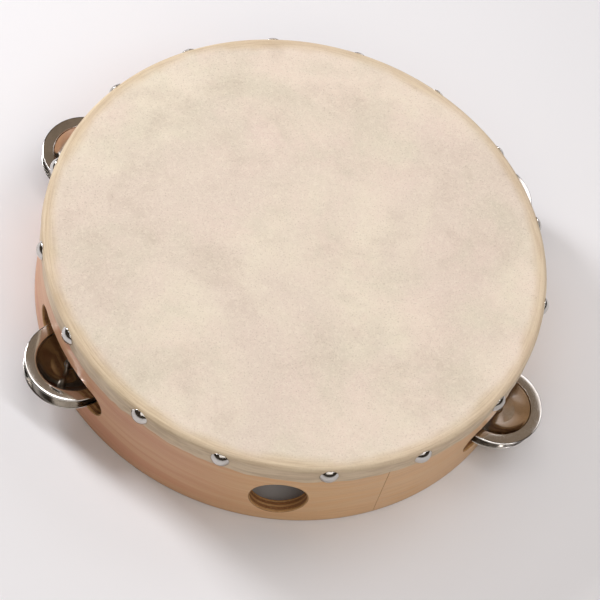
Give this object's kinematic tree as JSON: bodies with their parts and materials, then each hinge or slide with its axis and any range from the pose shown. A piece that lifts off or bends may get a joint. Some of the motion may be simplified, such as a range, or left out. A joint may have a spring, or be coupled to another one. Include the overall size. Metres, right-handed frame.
{
  "type": "tambourine",
  "caption": "Round hand drum with a tacked skin over a bent plywood shell, a thumb hole, and pairs of loose metal jingles in slots.",
  "frame": {"origin": "the shell's axis, in the plane of its open bottom edge", "axes": "+Z along the shell's axis towards the skin; -Y out through the thumb hole"},
  "size_m": [0.2622, 0.2755, 0.054],
  "materials": {
    "shell_wood": "bare sanded plywood, satin",
    "hide": "natural hide, matt with faint mottling",
    "nickel": "bright nickel plate",
    "pin_steel": "drawn wire"
  },
  "bodies": {
    "shell": {"shell_core": "shell_wood", "shell_face_ply": "shell_wood", "shell_back_ply": "shell_wood", "skin_head": "hide", "head_tacks": "nickel"},
    "pin_1": {"jingle_pin_1": "pin_steel"},
    "lower_disc_1": {"jingle_1_lower": "nickel"},
    "upper_disc_1": {"jingle_1_upper": "nickel"},
    "pin_2": {"jingle_pin_2": "pin_steel"},
    "lower_disc_2": {"jingle_2_lower": "nickel"},
    "upper_disc_2": {"jingle_2_upper": "nickel"},
    "pin_3": {"jingle_pin_3": "pin_steel"},
    "lower_disc_3": {"jingle_3_lower": "nickel"},
    "upper_disc_3": {"jingle_3_upper": "nickel"},
    "pin_4": {"jingle_pin_4": "pin_steel"},
    "lower_disc_4": {"jingle_4_lower": "nickel"},
    "upper_disc_4": {"jingle_4_upper": "nickel"},
    "pin_5": {"jingle_pin_5": "pin_steel"},
    "lower_disc_5": {"jingle_5_lower": "nickel"},
    "upper_disc_5": {"jingle_5_upper": "nickel"}
  },
  "joints": [
    {"name": "jingle_spin_1", "type": "hinge", "parent": "shell", "child": "pin_1", "pos_m": [-0.10646, -0.06397, 0.0193], "axis": [0, 0, 1], "continuous": true},
    {"name": "lower_disc_slide_1", "type": "slide", "parent": "pin_1", "child": "lower_disc_1", "axis": [0, 0, 1], "range_m": [0, 0.0026]},
    {"name": "upper_disc_slide_1", "type": "slide", "parent": "lower_disc_1", "child": "upper_disc_1", "axis": [0, 0, 1], "range_m": [0, 0.0026]},
    {"name": "jingle_spin_2", "type": "hinge", "parent": "shell", "child": "pin_2", "pos_m": [0.10863, -0.06021, 0.0193], "axis": [0, 0, 1], "continuous": true},
    {"name": "lower_disc_slide_2", "type": "slide", "parent": "pin_2", "child": "lower_disc_2", "axis": [0, 0, 1], "range_m": [0, 0.0026]},
    {"name": "upper_disc_slide_2", "type": "slide", "parent": "lower_disc_2", "child": "upper_disc_2", "axis": [0, 0, 1], "range_m": [0, 0.0026]},
    {"name": "jingle_spin_3", "type": "hinge", "parent": "shell", "child": "pin_3", "pos_m": [0.10646, 0.06397, 0.0193], "axis": [0, 0, 1], "continuous": true},
    {"name": "lower_disc_slide_3", "type": "slide", "parent": "pin_3", "child": "lower_disc_3", "axis": [0, 0, 1], "range_m": [0, 0.0026]},
    {"name": "upper_disc_slide_3", "type": "slide", "parent": "lower_disc_3", "child": "upper_disc_3", "axis": [0, 0, 1], "range_m": [0, 0.0026]},
    {"name": "jingle_spin_4", "type": "hinge", "parent": "shell", "child": "pin_4", "pos_m": [-0.00217, 0.12418, 0.0193], "axis": [0, 0, 1], "continuous": true},
    {"name": "lower_disc_slide_4", "type": "slide", "parent": "pin_4", "child": "lower_disc_4", "axis": [0, 0, 1], "range_m": [0, 0.0026]},
    {"name": "upper_disc_slide_4", "type": "slide", "parent": "lower_disc_4", "child": "upper_disc_4", "axis": [0, 0, 1], "range_m": [0, 0.0026]},
    {"name": "jingle_spin_5", "type": "hinge", "parent": "shell", "child": "pin_5", "pos_m": [-0.10863, 0.06021, 0.0193], "axis": [0, 0, 1], "continuous": true},
    {"name": "lower_disc_slide_5", "type": "slide", "parent": "pin_5", "child": "lower_disc_5", "axis": [0, 0, 1], "range_m": [0, 0.0026]},
    {"name": "upper_disc_slide_5", "type": "slide", "parent": "lower_disc_5", "child": "upper_disc_5", "axis": [0, 0, 1], "range_m": [0, 0.0026]}
  ]
}
